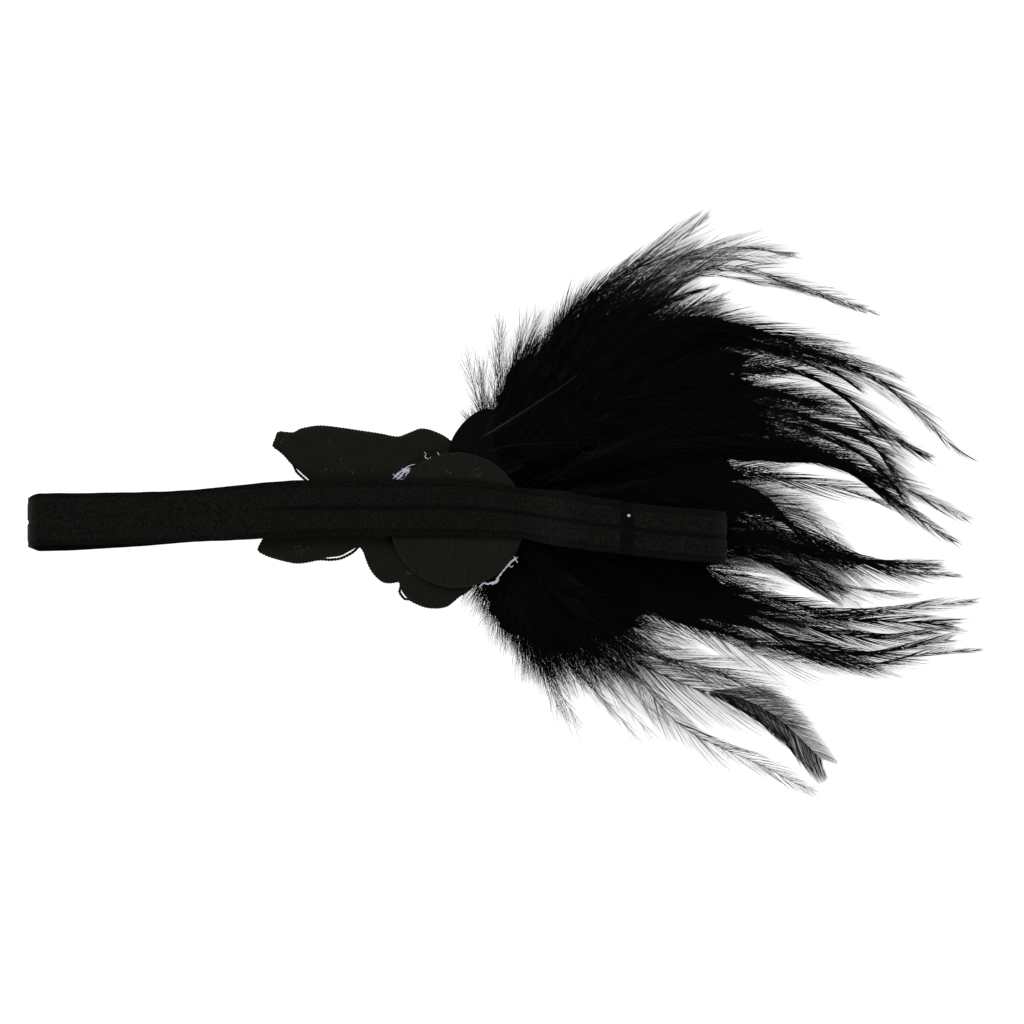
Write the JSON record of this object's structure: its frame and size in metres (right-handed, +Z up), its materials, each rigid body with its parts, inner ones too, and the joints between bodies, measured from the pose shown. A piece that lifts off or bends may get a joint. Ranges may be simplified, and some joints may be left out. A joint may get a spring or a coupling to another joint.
{
  "type": "flapper feather headband",
  "caption": "Feather headband lying face down: an elastic loop pressed flat, a felt disc over a leaf-cluster applique, and a fan of black hackle feathers to one side.",
  "frame": {"origin": "on the surface that the headband lies on, straight below the middle of the felt disc, on the applique's front face", "axes": "+X along the band towards the feather tips, +Y across the band, +Z up, away from the surface, out of the headband's back"},
  "size_m": [0.2692, 0.1638, 0.0151],
  "materials": {
    "plush_elastic": "nubby fold-over elastic with smooth selvedges",
    "felt": "brushed felt",
    "backing_cloth": "trimmed non-woven backing cloth",
    "satin": "plain satin",
    "cord": "twisted edging cord",
    "feather": "dyed cock hackle feathers"
  },
  "bodies": {
    "root": {"elastic_band": "plush_elastic", "felt_disc": "felt", "applique_backing": "backing_cloth", "applique_front": "satin", "edging_cord": "cord", "pad_feather": "feather", "feather_plume": "feather"}
  },
  "joints": []
}
